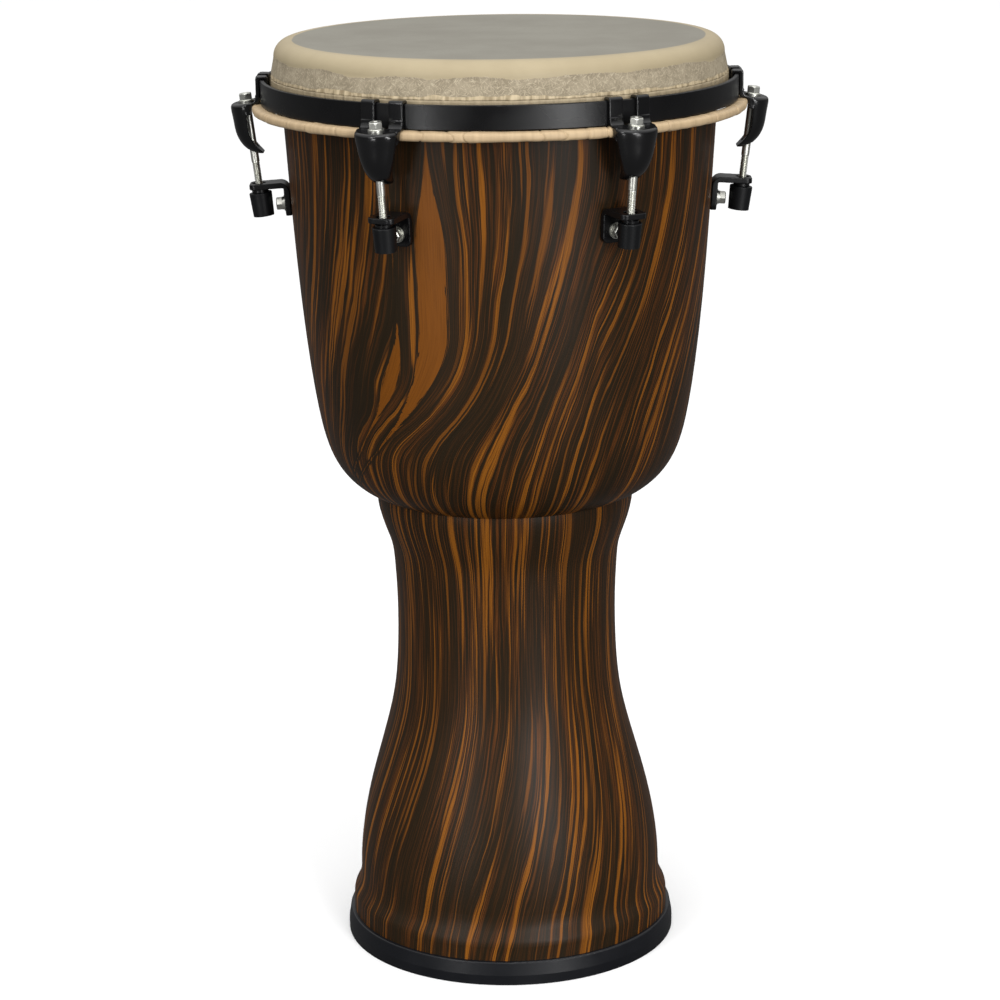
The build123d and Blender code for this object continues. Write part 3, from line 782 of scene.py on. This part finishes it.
def rolled_edge(material):
    """The head's cloth rolled round the flesh hoop: a soft oval ring with creases across it."""
    azimuth = circle(ROLL_COLUMNS)[None, :]
    around = circle(ROLL_ROWS)[:, None]
    middle_z = (WRAP_LOW.z + WRAP_HIGH.z) / 2
    half_height = (WRAP_HIGH.z - WRAP_LOW.z) / 2
    middle_r = WRAP_HIGH.x - ROLL_HALF_WIDTH
    rippled = waves(azimuth, around, seed=3, count=18, turns=(6, 90), size=ROLL_RIPPLE)
    offset = creases(azimuth, around, seed=7) + rippled - ROLL_SINK
    r = middle_r + squared(np.cos(around)) * (ROLL_HALF_WIDTH + offset)
    z = middle_z + squared(np.sin(around)) * (half_height + offset)
    mesh = grid_mesh("rolled_edge", turned_points(r, z, azimuth), closed_rows=True)
    obj = add_object("rolled_edge", mesh, material)
    flip_if_inside_out(obj.data)
    thicken(obj, ROLL_THICKNESS)
    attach(obj, "hoop")
    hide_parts("hoop_wrap")


# ---------------------------------------------------------------- castings and hardware
def six(mesh, name, node, body, material):
    """Puts a mesh made for the first tuner at all six, each in place of its CAD node."""
    for i, place in enumerate(TUNERS, start=1):
        obj = add_object(f"{name}_{i}", mesh, material)
        obj.rotation_euler.z = math.atan2(place[1], place[0])
        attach(obj, body.format(i))
        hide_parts(node.format(i))


def softened(node, smoothing):
    """A copy of a CAD node's mesh with its edges rounded, as a casting or coated plate has them."""
    obj = add_object("softened", nodes[node].data.copy())
    remesh = obj.modifiers.new("remesh", "REMESH")
    remesh.mode = "VOXEL"
    remesh.voxel_size = VOXEL
    smooth = obj.modifiers.new("smooth", "SMOOTH")
    smooth.factor = 0.5
    smooth.iterations = smoothing
    bake_modifiers(obj)
    mesh = obj.data
    bpy.data.objects.remove(obj)
    return mesh


def round_ring(azimuth, z, radius):
    """Points of a round ring at height z."""
    return turned_points(radius + 0 * azimuth, z, azimuth)[0]


def hex_ring(azimuth, z, cone_r):
    """Points of a hexagonal ring at height z, with its corners cut to the cone's radius there."""
    sixth = math.pi / 3
    hex_r = ACROSS_FLATS / 2 / np.cos((azimuth + sixth / 2) % sixth - sixth / 2)
    return turned_points(np.minimum(hex_r, cone_r), z, azimuth)[0]


def bolt_head_rings(azimuth):
    """Rings of the bolt's head, from the dimple in its top over the chamfer to the flange's seat."""
    half_flats = ACROSS_FLATS / 2
    corner = half_flats / math.cos(math.pi / 6)
    rings = [
        round_ring(azimuth, BOLT_HEAD - DIMPLE_DEPTH, 0.6 * MM),
        round_ring(azimuth, BOLT_HEAD - DIMPLE_DEPTH, DIMPLE_RADIUS),
        round_ring(azimuth, BOLT_HEAD - 0.1 * MM, DIMPLE_RADIUS + 0.5 * MM),
        round_ring(azimuth, BOLT_HEAD, DIMPLE_RADIUS + 0.8 * MM),
        round_ring(azimuth, BOLT_HEAD, half_flats - 0.35 * MM),
    ]
    for share in (0.0, 0.25, 0.5, 0.75, 1.0):
        cone_r = half_flats - 0.25 * MM + share * (corner - half_flats + 0.3 * MM)
        rings.append(hex_ring(azimuth, BOLT_HEAD - share * CHAMFER, cone_r))
    rings.append(hex_ring(azimuth, FLANGE + 0.3 * MM, corner))
    rings.append(hex_ring(azimuth, FLANGE + 0.05 * MM, corner - 0.1 * MM))
    rings.append(round_ring(azimuth, FLANGE, FLANGE_RADIUS - 0.25 * MM))
    rings.append(round_ring(azimuth, FLANGE * 0.5, FLANGE_RADIUS))
    rings.append(round_ring(azimuth, 0.0, FLANGE_RADIUS - 0.1 * MM))
    return rings


def bolt_shank_rings(azimuth):
    """Rings of the plain shank, the thread that fades in and out, and the bolt's end."""
    rings = [round_ring(azimuth, 0.0, SHANK_RADIUS), round_ring(azimuth, -PLAIN_LENGTH, SHANK_RADIUS)]
    threaded = BOLT_LENGTH - PLAIN_LENGTH
    steps = int(threaded / PITCH * RINGS_PER_THREAD)
    for k in range(steps + 1):
        z = -PLAIN_LENGTH - threaded * k / steps
        fade = min(1.0, k / 6.0, (steps - k) / 4.0 + 0.3)
        phase = (z / PITCH - azimuth / (2 * math.pi)) % 1.0
        groove = np.abs(phase * 2 - 1) * THREAD_DEPTH
        rings.append(turned_points(SHANK_RADIUS - groove * fade, z, azimuth)[0])
    end_z = -BOLT_LENGTH - 0.3 * MM
    rings.append(round_ring(azimuth, end_z, SHANK_RADIUS * 0.55))
    rings.append(round_ring(azimuth, end_z, SHANK_RADIUS * 0.1))
    return rings


def sharpen(mesh):
    """Marks the edges that turn sharply, so that flat sides look flat."""
    work = bmesh.new()
    work.from_mesh(mesh)
    for edge in work.edges:
        if len(edge.link_faces) == 2 and edge.calc_face_angle() > math.radians(SHARP_ANGLE):
            edge.smooth = False
    work.to_mesh(mesh)
    work.free()


def tuning_bolts(material):
    """The six tuning bolts, with the thread starting a little below where the shank leaves the claw."""
    azimuth = circle(BOLT_COLUMNS)[None, :]
    rings = bolt_head_rings(azimuth) + bolt_shank_rings(azimuth)
    mesh = grid_mesh("bolt", np.stack(rings), caps=True)
    flip_if_inside_out(mesh)
    mesh.transform(BOLT_FRAME @ Matrix.Translation((0, 0, WASHER)))
    sharpen(mesh)
    six(mesh, "bolt", "tuning_bolt_{}", "bolt_{}", material)


# ---------------------------------------------------------------- the drum
rubber = plain("foot_rubber", (0.0035, 0.0040, 0.0058), 0.38, grain=0.00006, Specular_IOR_Level=0.30)
black = plain("black_coat", (0.0030, 0.0030, 0.0034), 0.30,
              grain=0.00004, grain_scale=1500.0, Specular_IOR_Level=0.28)
cast_black = plain("cast_coat", (0.0028, 0.0028, 0.0032), 0.19,
                   grain=0.00004, grain_scale=700.0, Specular_IOR_Level=0.45)
cap_rubber = plain("cap_rubber", (0.0030, 0.0034, 0.0040), 0.42,
                   grain=0.0001, grain_scale=600.0, Specular_IOR_Level=0.22)
zinc = plain("zinc_plate", (0.64, 0.64, 0.59), 0.34, metallic=1.0, grain=0.00003)
cream_cloth = cloth("cream_cloth", *ROLLED_CLOTH_AND_SHADE)

wood = wood_print()
paint("bowl", wood)
paint("stem", wood)
paint("foot_ring", rubber)
head(drum_skin())
skirt(cloth("skirt_cloth", *SKIRT_CLOTH_AND_SHADE))
rolled_edge(cream_cloth)
paint("tension_hoop", black)
six(softened("claw_1", CAST_SMOOTHING), "claw_cast", "claw_{}", "hoop", cast_black)
six(softened("bracket_1", PLATE_SMOOTHING), "bracket_plate", "bracket_{}", "root", black)
tuning_bolts(zinc)
for i in range(1, len(TUNERS) + 1):
    paint(f"lug_nut_{i}", black)
    paint(f"nut_cap_{i}", cap_rubber)
    paint(f"bolt_washer_{i}", zinc)
for group in ("bracket_bolts", "bracket_lock_washers", "bracket_flat_washers"):
    paint(group, zinc)
for group in ("backing_washers", "backing_nuts", "flesh_hoop"):
    paint(group, zinc)
